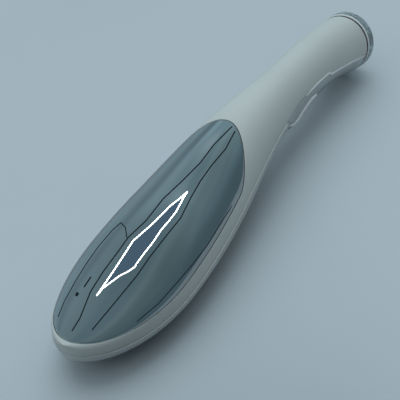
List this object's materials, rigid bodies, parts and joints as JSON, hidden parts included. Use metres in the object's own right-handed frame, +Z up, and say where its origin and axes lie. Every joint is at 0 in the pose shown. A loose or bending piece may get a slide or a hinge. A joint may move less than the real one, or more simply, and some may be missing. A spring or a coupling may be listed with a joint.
{
  "type": "heated eye massager wand",
  "caption": "Handheld heated eye massager wand: leaf shaped mirror plate on a spoon head, slim arched handle, clear cover with a mode button under it, clear tail cap.",
  "frame": {"origin": "on the resting surface, under the middle of the wand's overall length and width", "axes": "+X from the nose of the head to the tail of the handle, +Z up through the mirror plate, the casing is symmetric across Y and only the inner leads lie to one side"},
  "size_m": [0.1574, 0.0356, 0.026],
  "materials": {
    "white_shell": "satin white moulded plastic",
    "mirror_plate": "polished mirror plating",
    "gasket_rubber": "matt silicone",
    "heater_foil": "amber polyimide film",
    "felt": "needled felt",
    "sensor_bead": "black epoxy bead",
    "screw_steel": "zinc plated steel",
    "deck_plastic": "plain moulded plastic",
    "motor_steel": "nickel plated steel",
    "motor_plastic": "ivory plastic",
    "sleeve_rubber": "matt rubber",
    "weight_brass": "plain sintered metal",
    "battery_foil": "matt foil pouch",
    "tape_foam": "foam tape",
    "clear_plastic": "clear polished acrylic",
    "liner_white": "white moulded plastic",
    "button_white": "glossy pale grey plastic",
    "board_green": "green solder mask",
    "switch_black": "black moulded plastic",
    "plunger_tan": "tan plastic",
    "chip_black": "black epoxy",
    "led_lens": "milky lens",
    "seal_black": "black silicone",
    "port_steel": "nickel plated shell",
    "tongue_black": "black plastic",
    "lead_red": "soft wire sleeve",
    "lead_blue": "soft wire sleeve"
  },
  "bodies": {
    "wand": {"upper_housing": "white_shell", "lower_housing": "white_shell", "massage_plate": "mirror_plate", "plate_gasket": "gasket_rubber", "heater_film": "heater_foil", "heater_felt": "felt", "thermistor": "sensor_bead", "plate_screws": "screw_steel", "chassis": "deck_plastic", "chassis_screws": "screw_steel", "motor_can": "motor_steel", "motor_end": "motor_plastic", "motor_sleeve": "sleeve_rubber", "battery_cell": "battery_foil", "battery_tape": "tape_foam", "clear_cover": "clear_plastic", "handle_liner": "liner_white", "circuit_board": "board_green", "switch_body": "switch_black", "control_chip": "chip_black", "indicator_leds": "led_lens", "housing_screws": "screw_steel", "tail_seal": "seal_black", "end_cap": "clear_plastic", "charge_board": "board_green", "charging_port": "port_steel", "port_tongue": "tongue_black", "heater_leads": "lead_red", "motor_leads": "lead_blue", "battery_leads": "lead_red", "charge_leads": "lead_red"},
    "button": {"mode_button": "button_white"},
    "plunger": {"switch_plunger": "plunger_tan"},
    "rotor": {"motor_shaft": "screw_steel", "eccentric_weight": "weight_brass"}
  },
  "joints": [
    {"name": "button_press", "type": "slide", "parent": "wand", "child": "button", "axis": [0.0908, 0, 0.9959], "range_m": [0, 0.0003], "stiffness_N_per_m": 3000, "springref_m": -0.0002},
    {"name": "plunger_press", "type": "slide", "parent": "wand", "child": "plunger", "axis": [0.0908, 0, 0.9959], "range_m": [0, 0.0003]},
    {"name": "motor_spin", "type": "hinge", "parent": "wand", "child": "rotor", "pos_m": [-0.0604, 0, 0.0066], "axis": [1, 0, 0], "continuous": true}
  ],
  "couplings": [
    {"joint": "plunger_press", "follows": "button_press", "ratio": 1}
  ]
}
